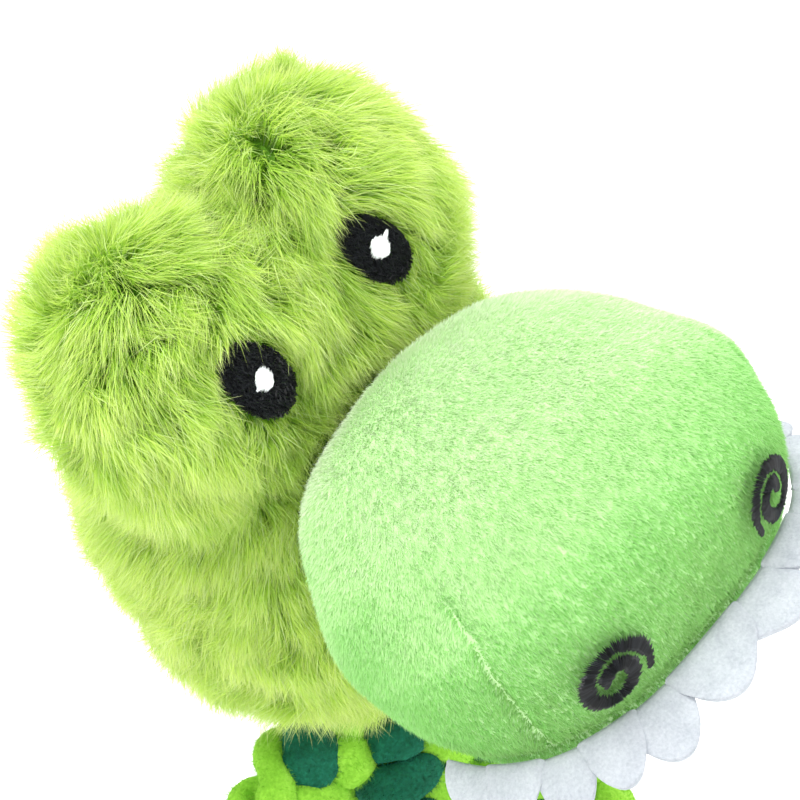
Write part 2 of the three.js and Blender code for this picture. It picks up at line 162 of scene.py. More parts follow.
def add(tree, kind, settings=None, links=None, stops=None):
    """Adds a node and returns its first output. settings are its properties or socket values, links are
    socket name: the output that feeds it, and stops are a colour ramp's (position, hex colour) pairs."""
    made = tree.nodes.new(kind)
    for key, value in (settings or {}).items():
        if isinstance(key, str) and hasattr(made, key):
            setattr(made, key, value)
        else:
            made.inputs[key].default_value = value
    for key, source in (links or {}).items():
        tree.links.new(source, made.inputs[key])
    if stops:
        elements = made.color_ramp.elements
        while len(elements) < len(stops):
            elements.new(0.5)
        for element, (place, code) in zip(elements, stops):
            element.position = place
            element.color = linear(code)
    return next((output for output in made.outputs if output.enabled), None)


def material(name):
    made = bpy.data.materials.new(name)
    made.use_nodes = True
    made.node_tree.nodes.clear()
    return made, made.node_tree


def pile_uv(tree):
    """The pile's own map: x is a random shade for each fibre, y the height along it. On the muzzle x also
    carries painted light on upward faces and painted shade at the seams.
    """
    split = tree.nodes.new("ShaderNodeSeparateXYZ")
    tree.links.new(add(tree, "ShaderNodeUVMap", {"uv_map": "pile"}), split.inputs["Vector"])
    return split.outputs["X"], split.outputs["Y"]


def long_pile_fur():
    """Acrylic faux fur: each fibre is mid green at its root and pale lime at its tip, so creases read
    darker, and light shines through the fibres. The darker roots are painted shade for the depths of the
    pile."""
    mat, tree = material("long_pile_acrylic_fur")
    shade, height = pile_uv(tree)
    place = tree.nodes.new("ShaderNodeTexCoord").outputs["Object"]
    patch = add(tree, "ShaderNodeTexNoise", {"Scale": 60.0, "Detail": 3.0, "Roughness": 0.6},
                {"Vector": place})
    # painted shade: this ramp darkens each fibre towards its root, so the depths between tufts read darker
    along = add(tree, "ShaderNodeValToRGB", links={"Fac": height},
                stops=[(0.0, "#86b638"), (0.35, "#b6da52"), (0.7, "#d8ee78"), (1.0, "#f0f8b0")])
    pale_amount = add(tree, "ShaderNodeMapRange", {"From Min": 0.6, "From Max": 1.0, "To Max": 0.6},
                      {"Value": shade})
    pale = add(tree, "ShaderNodeMix", {"data_type": "RGBA", 7: linear("#f4fdd2")},
               {6: along, "Factor": pale_amount})
    deep_amount = add(tree, "ShaderNodeMapRange", {"From Min": 0.45, "From Max": 0.7, "To Max": 0.55},
                      {"Value": patch})
    deep = add(tree, "ShaderNodeMix", {"data_type": "RGBA", "blend_type": "MULTIPLY", 7: linear("#d0e896")},
               {6: pale, "Factor": deep_amount})
    fibre = add(tree, "ShaderNodeBsdfPrincipled", {"Roughness": 0.5, "Specular IOR Level": 0.4},
                {"Base Color": deep})
    glow = add(tree, "ShaderNodeBsdfTranslucent", links={"Color": deep})
    mixed = add(tree, "ShaderNodeMixShader", {"Fac": 0.45}, {1: fibre, 2: glow})
    add(tree, "ShaderNodeOutputMaterial", links={"Surface": mixed})
    return mat


def cloth_material(name, stops, grain_mm, patch_mm, roughness, sheen, bump_mm, glow=0.0):
    """A napped cloth: fine grain mixed with broad patches drives its colour, the grain also its bump, and
    its sheen is the light that the raised fibres catch at a low angle."""
    mat, tree = material(name)
    place = tree.nodes.new("ShaderNodeTexCoord").outputs["Object"]
    grain = add(tree, "ShaderNodeTexNoise", {"Scale": 1000 / grain_mm, "Detail": 2.0, "Roughness": 0.6},
                {"Vector": place})
    patch = add(tree, "ShaderNodeTexNoise", {"Scale": 1000 / patch_mm, "Detail": 2.0}, {"Vector": place})
    both = add(tree, "ShaderNodeMix", {"Factor": 0.45}, {"A": grain, "B": patch})
    color = add(tree, "ShaderNodeValToRGB", links={"Fac": both}, stops=stops)
    bump = add(tree, "ShaderNodeBump", {"Strength": 0.6, "Distance": bump_mm * MM}, {"Height": grain})
    cloth = add(tree, "ShaderNodeBsdfPrincipled",
                {"Roughness": roughness, "Sheen Weight": sheen, "Sheen Roughness": 0.5,
                 "Specular IOR Level": 0.25,
                 "Sheen Tint": linear(stops[-1][1])}, {"Base Color": color, "Normal": bump})
    if glow:
        through = add(tree, "ShaderNodeBsdfTranslucent", links={"Color": color})
        cloth = add(tree, "ShaderNodeMixShader", {"Fac": glow}, {1: cloth, 2: through})
    add(tree, "ShaderNodeOutputMaterial", links={"Surface": cloth})
    return mat


def fur_backing():
    """Knitted backing of the fur: green, seen only deep between tufts."""
    return cloth_material("knitted_fur_backing", [(0.3, "#6ca62c"), (0.7, "#90c64a")], 1.2, 20, 0.95, 0.1,
                          0.3)


def minky_base():
    """Knitted ground of the short plush, seen between its fibres and as a darker line where seams draw it
    in."""
    return cloth_material("minky_ground", [(0.3, "#b4dc9a"), (0.7, "#c8eab0")], 0.9, 14, 0.9, 0.3, 0.2)


def minky_pile():
    """Short polyester plush with a brush-raised nap: greener and a little darker at the root, paler mint at
    the tip, with a soft shine where it leans. The tips run from green to pale mint by each fibre's shade,
    which carries painted light on faces that turn upwards and painted shade on faces that turn down and
    along the seams."""
    mat, tree = material("short_pile_minky")
    shade, height = pile_uv(tree)
    place = tree.nodes.new("ShaderNodeTexCoord").outputs["Object"]
    patch = add(tree, "ShaderNodeTexNoise", {"Scale": 160.0, "Detail": 3.0, "Roughness": 0.65},
                {"Vector": place})
    mixed = add(tree, "ShaderNodeMix", {"Factor": 0.18}, {"A": shade, "B": patch})
    # painted light and shade: the shade read here is high on upward faces and low on downward faces and at
    # the seams, so the pale end is painted light and the dark end painted shade
    tips = add(tree, "ShaderNodeValToRGB", links={"Fac": mixed},
               stops=[(0.0, "#5aa63c"), (0.2, "#9ccc78"), (0.36, "#aee490"), (0.5, "#c2eea8"),
                      (0.62, "#dcf7c6"),
                      (0.78, "#fafff0")])
    low = add(tree, "ShaderNodeMix", {"data_type": "RGBA", "blend_type": "MULTIPLY", "Factor": 1.0,
                                      7: linear("#d8ecc8")}, {6: tips})
    color = add(tree, "ShaderNodeMix", {"data_type": "RGBA"}, {6: low, 7: tips, "Factor": height})
    fibre = add(tree, "ShaderNodeBsdfPrincipled", {"Roughness": 0.45, "Specular IOR Level": 0.4,
                                                   "Sheen Weight": 0.2}, {"Base Color": color})
    glow = add(tree, "ShaderNodeBsdfTranslucent", links={"Color": color})
    both = add(tree, "ShaderNodeMixShader", {"Fac": 0.3}, {1: fibre, 2: glow})
    add(tree, "ShaderNodeOutputMaterial", links={"Surface": both})
    return mat


def fleece_lime():
    """Polar fleece, napped on both faces: lime green, soft, with paler raised fibres."""
    return cloth_material("polar_fleece_lime", [(0.3, "#74b02c"), (0.55, "#90cc3e"), (0.8, "#b2e35e")],
                          1.1, 9, 0.95, 0.4, 0.5)


def fleece_dark():
    """Polar fleece in bottle green, with a teal light on its raised fibres."""
    return cloth_material("polar_fleece_bottle_green",
                          [(0.3, "#0b4630"), (0.55, "#136048"), (0.85, "#27826a")],
                          1.1, 9, 0.95, 0.4, 0.5)


def white_felt():
    """Needled polyester felt: matt white with short loose fibres, thin enough for some light to pass."""
    return cloth_material("needled_white_felt", [(0.3, "#b4bac2"), (0.7, "#d6dae0")], 0.8, 6, 0.95, 0.3,
                          0.25, 0.25)


def fibre_fill():
    """Carded polyester fill: white, dull and lumpy."""
    return cloth_material("carded_fibre_fill", [(0.3, "#dcdcd6"), (0.7, "#f6f6f2")], 1.6, 12, 1.0, 0.5, 0.8)


def thread(name, dark, light):
    """Rayon embroidery thread: smooth twisted strands with a satin shine along each stitch."""
    mat, tree = material(name)
    shade, _ = pile_uv(tree)
    color = add(tree, "ShaderNodeValToRGB", links={"Fac": shade}, stops=[(0.0, dark), (1.0, light)])
    strand = add(tree, "ShaderNodeBsdfPrincipled", {"Roughness": 0.38, "Specular IOR Level": 0.5},
                 {"Base Color": color})
    add(tree, "ShaderNodeOutputMaterial", links={"Surface": strand})
    return mat


def squeaker_plastic():
    """Moulded polyethylene: milky white, waxy, faintly uneven from the mould."""
    mat, tree = material("moulded_polyethylene")
    place = tree.nodes.new("ShaderNodeTexCoord").outputs["Object"]
    cloud = add(tree, "ShaderNodeTexNoise", {"Scale": 180.0, "Detail": 3.0}, {"Vector": place})
    color = add(tree, "ShaderNodeValToRGB", links={"Fac": cloud},
                stops=[(0.3, "#dcdedf"), (0.7, "#eceeee")])
    bump = add(tree, "ShaderNodeBump", {"Strength": 0.2, "Distance": 0.0002}, {"Height": cloud})
    wax = add(tree, "ShaderNodeBsdfPrincipled", {"Roughness": 0.4, "IOR": 1.51, "Subsurface Weight": 0.1,
                                                 "Subsurface Scale": 0.004},
              {"Base Color": color, "Normal": bump})
    add(tree, "ShaderNodeOutputMaterial", links={"Surface": wax})
    return mat


# ---- mesh helpers ----
def mesh_piece(name, points, faces, mat, body, nodes, uv=None, smooth=True):
    """Makes a mesh from millimetre points in the row frame, and rides it on a body in place of its CAD
    nodes. faces is a list of index arrays, one array per face size; uv holds one pair per point."""
    mesh = bpy.data.meshes.new(name)
    sizes = np.concatenate([np.full(len(f), f.shape[1], np.int32) for f in faces])
    loops = np.concatenate([f.ravel() for f in faces]).astype(np.int32)
    starts = np.concatenate([[0], np.cumsum(sizes)[:-1]]).astype(np.int32)
    mesh.vertices.add(len(points))
    mesh.vertices.foreach_set("co", (points * MM).astype(np.float32).ravel())
    mesh.loops.add(len(loops))
    mesh.loops.foreach_set("vertex_index", loops)
    mesh.polygons.add(len(sizes))
    mesh.polygons.foreach_set("loop_start", starts)
    mesh.polygons.foreach_set("loop_total", sizes)
    mesh.polygons.foreach_set("use_smooth", np.full(len(sizes), smooth))
    if uv is not None:
        layer = mesh.uv_layers.new(name="pile")
        layer.data.foreach_set("uv", uv[loops].astype(np.float32).ravel())
    mesh.update(calc_edges=True)
    mesh.validate()
    made = bpy.data.objects.new(name, mesh)
    bpy.context.scene.collection.objects.link(made)
    mesh.materials.append(mat)
    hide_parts(*nodes)
    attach(made, body)
    return made


def unit(vectors):
    return vectors / np.maximum(np.linalg.norm(vectors, axis=-1, keepdims=True), 1e-9)


def join(parts):
    """Several (points, faces) meshes as one."""
    starts = np.cumsum([0] + [len(points) for points, _ in parts])
    faces = [f + start for (_, group), start in zip(parts, starts) for f in group]
    return np.vstack([points for points, _ in parts]), faces


def grid_faces(rows, columns, wrap=False):
    """Quads between neighbours on a grid stored row by row; wrap also joins the last column to the
    first."""
    row = np.arange(rows - 1)[:, None] * columns
    here = np.arange(columns if wrap else columns - 1)[None, :]
    after = (here + 1) % columns
    return np.stack([row + here, row + after, row + columns + after, row + columns + here],
                    -1).reshape(-1, 4)


def cut_out(points, faces, keep):
    """The part of a mesh whose faces have their middles where keep is true."""
    chosen = [f[keep(points[f].mean(1))] for f in faces]
    used = np.unique(np.concatenate([f.ravel() for f in chosen]))
    place = np.zeros(len(points), int)
    place[used] = np.arange(len(used))
    return points[used], [place[f] for f in chosen]


def triangles_of(faces):
    """All faces as triangles: a quad gives two."""
    cuts = {3: [[0, 1, 2]], 4: [[0, 1, 2], [0, 2, 3]]}
    halves = [f[:, corners] for f in faces for corners in cuts[f.shape[1]]]
    return np.vstack(halves)


def scatter(points, triangles, per_mm2, rng):
    """Even random places on a surface and the normals there: triangles drawn by area, a random point in
    each."""
    a, b, c = (points[triangles[:, i]] for i in range(3))
    across = np.cross(b - a, c - a)
    area = np.linalg.norm(across, axis=1)
    count = int(area.sum() / 2 * per_mm2)
    pick = np.minimum(np.searchsorted(np.cumsum(area) / area.sum(), rng.random(count)), len(triangles) - 1)
    u, v = rng.random(count), rng.random(count)
    flip = u + v > 1
    u, v = np.where(flip, 1 - u, u), np.where(flip, 1 - v, v)
    places = a[pick] + (b - a)[pick] * u[:, None] + (c - a)[pick] * v[:, None]
    return places, unit(across[pick])


def nap(roots, lean, length, width, rng):
    """Short fibres as single triangles: two root corners and a tip at the root plus lean times length. uv
    holds a random shade and the height."""
    n = len(roots)
    across = unit(np.cross(lean, rng.normal(0, 1, roots.shape))) * (width / 2)
    aim = unit(lean + rng.normal(0, 0.22, roots.shape))
    tip = roots + aim * (length * (0.6 + 0.7 * rng.random(n)))[:, None]
    points = np.stack([roots - across, roots + across, tip], 1).reshape(-1, 3)
    uv = np.stack([np.repeat(rng.random(n)[:, None], 3, 1), np.tile((0, 0, 1.0), (n, 1))], -1)
    return points, [np.arange(3 * n).reshape(-1, 3)], uv.reshape(-1, 2)


def lean_head(points):
    """Head frame to row frame: turned about the toy's front-back line, then raised to the neck."""
    c, s = math.cos(HEAD_LEAN), math.sin(HEAD_LEAN)
    return points @ np.array(((c, 0, -s), (0, 1, 0), (s, 0, c))) + NECK


# Straight down, seen in the head's own frame.
DOWN = np.array((math.sin(HEAD_LEAN), 0.0, -math.cos(HEAD_LEAN)))


# ---- the head's shape ----
def ellipsoid_depth(points, centre, radii):
    """Rough distance outside an ellipsoid: (k - 1) * k / g with k the scaled radius and g its gradient."""
    scaled = (points - np.array(centre)) / np.array(radii)
    k = np.linalg.norm(scaled, axis=-1)
    g = np.linalg.norm(scaled / np.array(radii), axis=-1)
    return k * (k - 1) / np.maximum(g, 1e-6)


def smooth_least(a, b, width):
    """The smaller of two distances, rounded off where they are within a width of each other."""
    h = np.clip(0.5 + 0.5 * (b - a) / width, 0, 1)
    return b + (a - b) * h - width * h * (1 - h)


def head_depth(points):
    """Distance outside the head: its four ellipsoids joined smoothly."""
    body = smooth_least(ellipsoid_depth(points, *CRANIUM), ellipsoid_depth(points, *JOWL), BLEND)
    bumps = [ellipsoid_depth(points, BUMP_CENTRE * (side, 1, 1), BUMP_RADII) for side in (1, -1)]
    return smooth_least(body, smooth_least(*bumps, BUMP_BLEND), BLEND)


def seam_distance(points):
    """Distance to the nearest seam of the fur cover: crest, face edge, back middle line and chin."""
    x, y, z = points[..., 0], points[..., 1], points[..., 2]
    edge = CREST_Z + FACE_SLOPE * (y - CREST_Y)
    corner = np.hypot(y - CREST_Y, z - CREST_Z)
    crest = np.where(z > CREST_Z, np.abs(y - CREST_Y), corner)
    under = np.where(y < CREST_Y, np.abs(z - edge) / math.hypot(1, FACE_SLOPE), corner)
    face = is_face(points)
    middle = np.where(face, 99.0, np.abs(x))
    chin = np.where(face, 99.0, np.abs(z - CHIN_Z))
    return np.minimum.reduce([crest, under, middle, chin])


def is_face(points):
    """True in front of the crest seam and above the seam under the face."""
    y, z = points[..., 1], points[..., 2]
    return (y < CREST_Y) & (z > CREST_Z + FACE_SLOPE * (y - CREST_Y))


def slope_of(depth, points, step=0.5):
    """Outward unit normals, from differences of a distance function along the three axes."""
    sides = [depth(points + step * np.eye(3)[i]) - depth(points - step * np.eye(3)[i]) for i in range(3)]
    return unit(np.stack(sides, -1))


def ray_surface(depth, centre, directions, level):
    """Where rays from a middle point leave the level of a distance function: the outermost of 50 steps that
    is still inside, then 14 halvings."""
    near = np.zeros(len(directions))
    for reach in np.linspace(20, 120, 51):
        near = np.where(depth(centre + directions * reach) < level, reach, near)
    far = near + 2.0
    for _ in range(14):
        middle = (near + far) / 2
        inside = depth(centre + directions * middle[:, None]) < level
        near = np.where(inside, middle, near)
        far = np.where(inside, far, middle)
    return centre + directions * near[:, None]


def front_point(depth, x, z, start_y, level):
    """The point in front of start_y at x and z where a distance function reaches a level, by halving along
    Y."""
    near = np.full(x.shape, float(start_y))
    far = near - 110
    for _ in range(24):
        middle = (near + far) / 2
        inside = depth(np.stack([x, middle, z], -1)) < level
        near = np.where(inside, middle, near)
        far = np.where(inside, far, middle)
    return np.stack([x, near, z], -1)


def head_surface(directions):
    """The fur's backing: rays out to the head's surface, drawn in along the seams."""
    points = ray_surface(head_depth, HEAD_MIDDLE, directions, -SKIN_INSET)
    pinch = 1.0 * np.exp(-(seam_distance(points) / 3.0) ** 2)
    return points - slope_of(head_depth, points) * pinch[:, None]


def ball_grid(columns, rows):
    """Unit directions on a closed ball: one point at each pole and rings between. Returns points and
    faces."""
    turn = np.linspace(0, 2 * np.pi, columns, endpoint=False)
    drop = np.linspace(0, np.pi, rows + 1)[1:-1]
    ring = np.stack([np.outer(np.sin(drop), np.cos(turn)), np.outer(np.sin(drop), np.sin(turn)),
                     np.repeat(np.cos(drop)[:, None], columns, 1)], -1).reshape(-1, 3)
    points = np.vstack([[0, 0, 1], ring, [0, 0, -1]])
    row = np.arange(rows - 2)[:, None] * columns + 1
    here = np.arange(columns)[None, :]
    after = (here + 1) % columns
    quads = np.stack([row + here, row + columns + here, row + columns + after, row + after],
                     -1).reshape(-1, 4)
    last = len(points) - 1
    base = (rows - 2) * columns + 1
    top = np.stack([np.zeros(columns, int), 1 + here[0], 1 + after[0]], -1)
    low = np.stack([np.full(columns, last), base + after[0], base + here[0]], -1)
    return points, [quads, np.vstack([top, low])]


def hashed(cells, salt):
    """A repeatable random number from 0 to 1 for each whole-number cell."""
    mixed = cells[..., 0] * 127.1 + cells[..., 1] * 311.7 + cells[..., 2] * 74.7 + salt * 53.3
    return np.modf(np.abs(np.sin(mixed) * 43758.5453))[0]


def tuft_centres(points, size):
    """The nearest jittered cell centre to each point: one centre per cell of a cubic lattice, moved at
    random."""
    home = np.floor(points / size)
    best = np.full(len(points), 1e9)
    centre = points.copy()
    for dx in (-1, 0, 1):
        for dy in (-1, 0, 1):
            for dz in (-1, 0, 1):
                cell = home + np.array((dx, dy, dz))
                jitter = np.stack([hashed(cell, salt) for salt in (1, 2, 3)], -1)
                place = (cell + jitter) * size
                distance = np.linalg.norm(points - place, axis=1)
                closer = distance < best
                best = np.where(closer, distance, best)
                centre = np.where(closer[:, None], place, centre)
    return centre


def blades(roots, rise, bend, length, width, tufts, rng):
    """Long fibres as tapering two-step blades: root, a middle point along rise and a tip along bend. tufts
    are (size, pull) pairs: the tip is drawn by pull towards the middle of its tuft of that size, the middle
    point by a third as much. uv holds a random shade and the height along the fibre."""
    wobble = rng.normal(0, 0.15, roots.shape)
    middle = roots + unit(rise + wobble) * (length * 0.5)[:, None]
    tip = middle + unit(bend + wobble * 1.6) * (length * 0.5)[:, None]
    for size, pull in tufts:
        centre = tuft_centres(roots, size)
        own = 0.5 + hashed(np.round(centre * 10), 5)
        amount = (pull * own)[:, None] * rng.random((len(roots), 1)) ** 0.4
        middle = middle + (centre - roots) * amount / 3
        tip = tip + (centre - roots) * amount
    across = unit(np.cross(tip - roots, rng.normal(0, 1, roots.shape)))
    half = across * (width / 2)[:, None]
    points = np.stack([roots - half, roots + half, middle - half * 0.8, middle + half * 0.8, tip], 1)
    first = np.arange(len(roots))[:, None] * 5
    quads = first + np.array((0, 1, 3, 2))
    triangles = first + np.array((2, 3, 4))
    shade = rng.random(len(roots))
    height = np.array((0, 0, 0.5, 0.5, 1.0))
    uv = np.stack([np.repeat(shade[:, None], 5, 1), np.repeat(height[None, :], len(roots), 0)], -1)
    return points, quads, triangles, uv


def pile_directions(points, normals):
    """Which way the fur lies: down and forward on the face, back over the crest, down and back on the
    cheeks, always away from the seams, and a little differently in every tuft 18 mm across."""
    face = is_face(points)
    x = points[:, :1]
    outwards = np.sign(x) * np.clip(np.abs(x) / 60, 0, 1) * np.array((0.5, 0, 0))
    on_face = np.array((0.0, -0.35, -1.0)) + outwards
    behind = DOWN * 0.75 + np.array((0.0, 0.45, 0.0))
    high = np.clip((points[:, 2:3] - 100) / 30, 0, 1)
    crown = np.array((0.0, 0.8, 0.5))
    flow = np.where(face[:, None], on_face, behind * (1 - high) + crown * high)
    away = slope_of(seam_distance, points, 0.8)
    near = np.exp(-(seam_distance(points) / 7.0) ** 2)[:, None]
    flow = unit(flow) * (1 - 0.25 * near) + away * near * 0.2
    home = np.round(tuft_centres(points, 18.0) * 10)
    swirl = np.stack([hashed(home, salt) for salt in (6, 7, 8)], -1) - 0.5
    small = np.round(tuft_centres(points, 7.0) * 10)
    curl = np.stack([hashed(small, salt) for salt in (6, 7, 8)], -1) - 0.5
    flow = unit(flow) + swirl * 1.7 + curl * 1.3
    flow = flow - normals * np.sum(flow * normals, -1, keepdims=True)
    return unit(flow)


def eye_reach(points):
    """Under 1 within either eye's tilted oval, in front of the bumps' middles."""
    nearest = np.full(points.shape[:-1], 9.0)
    for sign, tilt in EYE_TILT.items():
        dx, dz = points[..., 0] - sign * EYE_CENTRE[sign][0], points[..., 2] - EYE_CENTRE[sign][1]
        across = (dx * math.cos(tilt) + dz * math.sin(tilt)) / EYE_SIZE[sign][0]
        along = (dz * math.cos(tilt) - dx * math.sin(tilt)) / EYE_SIZE[sign][1]
        nearest = np.minimum(nearest, np.hypot(across, along))
    return np.where(points[..., 1] < BUMP_CENTRE[1], nearest, 9.0)


HEAD_PANELS = {
    "face": lambda p: is_face(p),
    "chin": lambda p: ~is_face(p) & (p[:, 2] < CHIN_Z),
    "side_left": lambda p: ~is_face(p) & (p[:, 2] >= CHIN_Z) & (p[:, 0] >= 0),
    "side_right": lambda p: ~is_face(p) & (p[:, 2] >= CHIN_Z) & (p[:, 0] < 0),
}


def head_fur(mat, backing_mat):
    """The four fur panels: a backing shell each, and a pile of blades rooted on it. The pile is shorter
    beside the muzzle and the seams, and kept off the eyes but for a few hairs."""
    rng = np.random.default_rng(SEED)
    directions, faces = ball_grid(200, 130)
    skin = head_surface(directions)
    roots, _ = scatter(skin, triangles_of(faces), PILE_PER_MM2 * (1.0), rng)
    roots = roots[(muzzle_depth(roots) > -1.0) & (eye_reach(roots) > 0.9)]
    normals = slope_of(head_depth, roots)
    flow = pile_directions(roots, normals)
    n = len(roots)
    lock = hashed(np.round(tuft_centres(roots, 6.0) * 10), 4)
    by_muzzle = 0.4 + 0.6 * np.clip(muzzle_depth(roots) / 14, 0, 1)
    by_eye = 0.45 + 0.55 * np.clip((eye_reach(roots) - 1) / 0.7, 0, 1)
    by_seam = 1 - 0.2 * np.exp(-(seam_distance(roots) / 4.0) ** 2)
    length = PILE_LENGTH * (0.5 + 0.35 * rng.random(n) + 0.4 * lock) * by_muzzle * by_eye * by_seam
    upright = np.exp(-(seam_distance(roots) / 6.0) ** 2)[:, None]
    rise = normals * (0.95 + 0.8 * upright) + flow * (0.65 - 0.3 * upright)
    bend = normals * (0.4 + 0.5 * upright) + flow * (0.9 - 0.3 * upright) + DOWN * 0.12
    width = PILE_WIDTH * (0.7 + 0.6 * rng.random(n)) * 1.0
    points, quads, triangles, uv = blades(roots, rise, bend, length, width, ((4.0, 0.5), (11.0, 0.2)), rng)
    over_eye = (np.minimum(eye_reach(points[:, 4]), eye_reach(points[:, 2])) < 1.0) & (rng.random(n) > 0.06)
    for name, inside in HEAD_PANELS.items():
        node = f"head_fur_{name}"
        mine = np.flatnonzero(inside(roots) & ~over_eye)
        first = np.arange(len(mine))[:, None] * 5
        mesh_piece(f"{node}_pile", lean_head(points[mine].reshape(-1, 3)),
                   [first + np.array((0, 1, 3, 2)), first + np.array((2, 3, 4))], mat, "head",
                   [node],
                   uv[mine].reshape(-1, 2), False)
        shell_points, shell_faces = cut_out(skin, faces, inside)
        shell = mesh_piece(f"{node}_backing", lean_head(shell_points), shell_faces, backing_mat, "head",
                           [node])
        wall = shell.modifiers.new("backing", "SOLIDIFY")
        wall.thickness = BACKING_THICKNESS * MM
        wall.offset = -1


# ---- muzzle ----
def muzzle_depth(points):
    """Rough distance outside the muzzle: the boxy ball's scaled radius less one, times its mean radius."""
    c, s = math.cos(-MUZZLE_PITCH), math.sin(-MUZZLE_PITCH)
    turned = (points - MUZZLE_CENTRE) @ np.array(((1, 0, 0), (0, c, s), (0, -s, c)))
    scaled = turned / MUZZLE_RADII
    narrow = 1 - MUZZLE_TAPER * np.maximum(0, scaled[..., 2] + scaled[..., 1]) / 2
    scaled[..., 0] = scaled[..., 0] / narrow
    k = np.sum(np.abs(scaled) ** MUZZLE_BOXINESS, -1) ** (1 / MUZZLE_BOXINESS)
    return (k - 1) * MUZZLE_RADII.mean()


def muzzle_surface(directions, grow=0.0):
    """Unit directions pushed out to a boxy ball, narrowed towards the face, stretched, pitched and
    placed."""
    k = np.sum(np.abs(directions) ** MUZZLE_BOXINESS, -1, keepdims=True) ** (1 / MUZZLE_BOXINESS)
    points = directions / k
    narrow = 1 - MUZZLE_TAPER * np.maximum(0, points[:, 2] + points[:, 1]) / 2
    points[:, 0] *= narrow
    points = points * (MUZZLE_RADII + grow)
    c, s = math.cos(MUZZLE_PITCH), math.sin(MUZZLE_PITCH)
    return points @ np.array(((1, 0, 0), (0, c, s), (0, -s, c))) + MUZZLE_CENTRE


def dart_line():
    """The short dart at each front corner of the muzzle: 40 directions to it from the muzzle's middle."""
    share = np.linspace(0, len(DART) - 1, 40)
    line = np.stack([np.interp(share, np.arange(len(DART)), axis) for axis in np.array(DART).T], -1)
    both = np.vstack([line, line * (-1, 1, 1)])
    return unit(both - MUZZLE_CENTRE)


def muzzle_seam(points):
    """Distance to the muzzle's seams: round the mouth, and to the nearest place on either dart."""
    mouth = np.where(points[..., 1] < MOUTH_FRONT_Y, np.abs(points[..., 2] - MOUTH_Z), 99.0)
    aim = unit(points - MUZZLE_CENTRE)
    dart = np.full(mouth.shape, 99.0)
    for place in dart_line():
        dart = np.minimum(dart, np.linalg.norm(aim - place, axis=-1) * DART_REACH)
    return np.minimum(mouth, dart)


def muzzle_skin(directions, inset):
    """The muzzle's surface with its fabric drawn in along the seams and gently uneven over the stuffing."""
    points = muzzle_surface(directions, -inset)
    wave = np.sin(points @ np.array((0.11, 0.05, 0.07)))
    lumps = wave * np.sin(points @ np.array((-0.06, 0.1, 0.09)) + 2)
    inward = 1.5 * np.exp(-(muzzle_seam(points) / 2.2) ** 2) - 0.7 * lumps
    return points - slope_of(muzzle_depth, points) * inward[:, None]


def muzzle(ground_mat, pile_mat):
    """Two panels that meet at the mouth: a backing shell each, and short fibres that lean forward and
    down."""
    rng = np.random.default_rng(SEED + 1)
    directions, faces = ball_grid(220, 150)
    skin = muzzle_skin(directions, 1.8)
    density = MINKY_PER_MM2 * 1.0
    roots, normals = scatter(skin, triangles_of(faces), density, rng)
    front = roots[:, 1] < MINKY_BACK_Y
    roots, normals = roots[front], normals[front]
    seam = muzzle_seam(roots)
    parting = slope_of(muzzle_seam, roots, 0.6) * np.exp(-(seam / 3.0) ** 2)[:, None]
    flow = np.array((0.0, -0.5, -0.8)) + parting * 1.5
    lean = normals * 0.6 + unit(flow - normals * np.sum(flow * normals, -1, keepdims=True)) * 0.9
    length = MINKY_LENGTH * (0.7 + 0.3 * np.clip(seam / 2, 0, 1))
    width = MINKY_WIDTH
    # painted shade: fibres within about a millimetre of the mouth seam and the darts get a lower shade, a
    # dark line along the seam creases
    dark = 0.6 * np.exp(-(seam / 0.9) ** 2)
    # painted light: fibres on faces that turn upwards get a higher shade and so paler tips, and faces that
    # turn down get a lower one
    painted_top_light = np.clip(0.5 + 0.55 * normals @ unit(np.array((0.1, 0.35, 0.9))), 0, 1)
    for name, inside in (("top", lambda p: p[:, 2] >= MOUTH_Z), ("under", lambda p: p[:, 2] < MOUTH_Z)):
        node = f"muzzle_{name}_panel"
        mine = inside(roots)
        points, pile_faces, uv = nap(roots[mine], lean[mine], length[mine], width, rng)
        uv[:, 0] = (0.16 * uv[:, 0] + 0.76 * np.repeat(painted_top_light[mine], 3)) * np.repeat(1 - dark[mine], 3)
        mesh_piece(f"{node}_pile", lean_head(points), pile_faces, pile_mat, "head", [node],
                   uv, False)
        shell_points, shell_faces = cut_out(skin, faces, inside)
        shell = mesh_piece(f"{node}_ground", lean_head(shell_points), shell_faces, ground_mat, "head",
                           [node])
        wall = shell.modifiers.new("ground", "SOLIDIFY")
        wall.thickness = GROUND_THICKNESS * MM
        wall.offset = -1


def stuffing(mat):
    """Fibre fill inside the head and the muzzle: their shapes drawn in by 9 and 5 mm, with lumps about 12
    mm wide."""
    directions, faces = ball_grid(120, 80)
    lumps = 1.2 * np.sin(directions * 23).prod(1) + 0.6 * np.sin(directions * 41 + 1).prod(1)
    head = ray_surface(head_depth, HEAD_MIDDLE, directions, -9.0) + directions * lumps[:, None]
    mesh_piece("head_fill", lean_head(head), faces, mat, "head", ["head_stuffing"])
    front = muzzle_surface(directions, -5.0) + directions * lumps[:, None]
    mesh_piece("muzzle_fill", lean_head(front), faces, mat, "head", ["muzzle_stuffing"])


def squeaker(mat):
    """The squeaker's shell and reed are hard parts, kept as they are in moulded plastic."""
    for name in ("squeaker_shell", "squeaker_reed"):
        mesh = frame["nodes"][name].data
        mesh.materials.clear()
        mesh.materials.append(mat)


